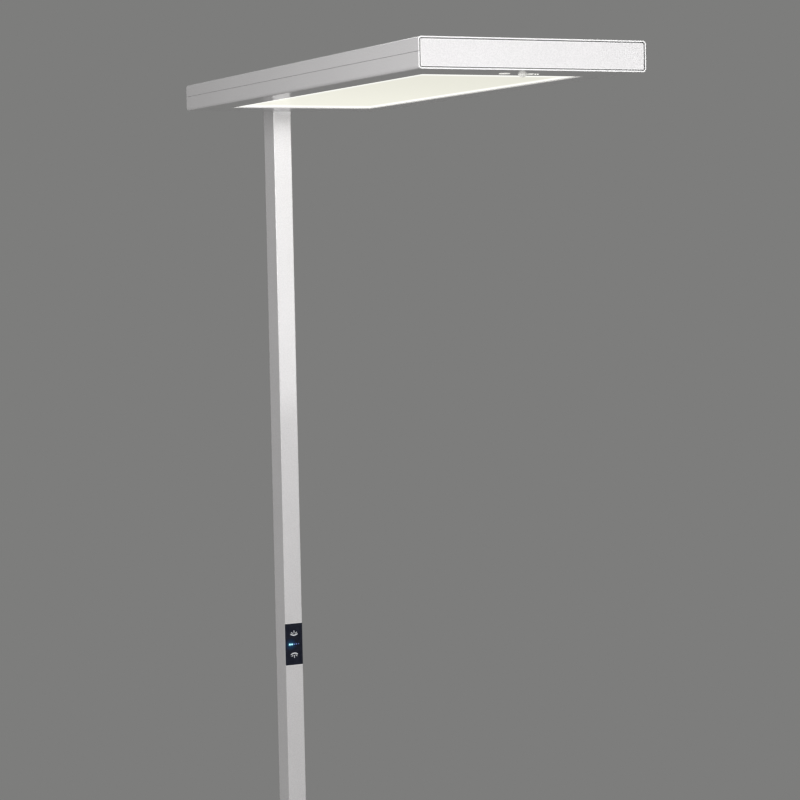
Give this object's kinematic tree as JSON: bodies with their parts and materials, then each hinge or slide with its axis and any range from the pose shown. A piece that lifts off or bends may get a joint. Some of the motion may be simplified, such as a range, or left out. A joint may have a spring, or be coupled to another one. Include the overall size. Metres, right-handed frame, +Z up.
{
  "type": "floor lamp",
  "caption": "Office floor lamp: a flat rectangular head with a glowing underside, held at one end by a rectangular mast with a control panel, on a base plate.",
  "frame": {"origin": "on the floor, at the middle of the lamp's overall footprint", "axes": "+Z up; the free end of the head and the keys on the mast point along -Y; +X to the right of someone who stands behind the mast and looks along the head"},
  "size_m": [0.3, 0.8804, 1.95],
  "materials": {
    "silver_paint_aluminium": "fine satin metallic silver powder coat",
    "silver_paint_steel": "fine satin metallic silver powder coat on steel plate",
    "bright_aluminium": "plain mill finish",
    "zinc_steel": "bright zinc plated",
    "cast_aluminium": "as cast, tumbled",
    "black_gloss_plastic": "smooth gloss black",
    "black_plastic": "fine matte black",
    "white_plastic": "smooth matte white",
    "opal_diffuser": "satin opal acrylic, lit from its edges",
    "frosted_diffuser": "frosted acrylic",
    "clear_acrylic": "clear polished acrylic",
    "white_film": "matte white film",
    "lens_white": "milky moulded polyethylene, faceted inside",
    "circuit_board": "green solder mask",
    "led_board": "white solder mask",
    "cable_grey": "matte cable jacket",
    "cable_white": "matte cable jacket",
    "rubber_black": "matte rubber",
    "key_switch": "matte moulded plastic"
  },
  "bodies": {
    "stand": {"base_plate": "silver_paint_steel", "rubber_feet": "rubber_black", "base_screws": "zinc_steel", "mast_tube": "silver_paint_aluminium", "mast_cap": "silver_paint_aluminium", "mains_bushing": "black_plastic", "terminal_block": "white_plastic", "riser_cable": "cable_grey", "control_lead": "cable_grey", "head_bracket": "cast_aluminium", "bracket_screws": "zinc_steel", "arm_bolts": "zinc_steel", "control_fascia": "black_gloss_plastic", "control_housing": "black_plastic", "control_board": "circuit_board", "level_light_guide": "clear_acrylic", "lower_shell": "silver_paint_aluminium", "upper_shell": "silver_paint_aluminium", "front_end_plate": "silver_paint_aluminium", "rear_end_plate": "silver_paint_aluminium", "end_plate_nuts": "zinc_steel", "cover_posts": "bright_aluminium", "cover_screws": "zinc_steel", "downlight_diffuser": "opal_diffuser", "light_guide": "clear_acrylic", "reflector_film": "white_film", "edge_strip_left": "led_board", "edge_strip_right": "led_board", "edge_rail_left": "bright_aluminium", "edge_rail_right": "bright_aluminium", "chassis_tray": "bright_aluminium", "tray_screws": "zinc_steel", "uplight_strips": "led_board", "uplight_diffuser": "frosted_diffuser", "uplight_retainers": "bright_aluminium", "driver_left": "white_plastic", "driver_right": "white_plastic", "driver_plug": "white_plastic", "driver_leads": "cable_white", "strip_leads": "cable_white", "motion_lens": "lens_white", "motion_detector": "zinc_steel", "daylight_window": "white_plastic", "status_window": "white_plastic", "status_lights": "white_plastic", "sensor_board": "circuit_board", "sensor_standoffs": "zinc_steel", "sensor_cable": "cable_white"},
    "dim_up": {"dim_up_key": "black_gloss_plastic", "dim_up_plunger": "key_switch"},
    "dim_down": {"dim_down_key": "black_gloss_plastic", "dim_down_plunger": "key_switch"}
  },
  "joints": [
    {"name": "dim_up_press", "type": "slide", "parent": "stand", "child": "dim_up", "axis": [0, 1, 0], "range_m": [0, 0.0005], "stiffness_N_per_m": 2000, "springref_m": -0.0003},
    {"name": "dim_down_press", "type": "slide", "parent": "stand", "child": "dim_down", "axis": [0, 1, 0], "range_m": [0, 0.0005], "stiffness_N_per_m": 2000, "springref_m": -0.0003}
  ]
}
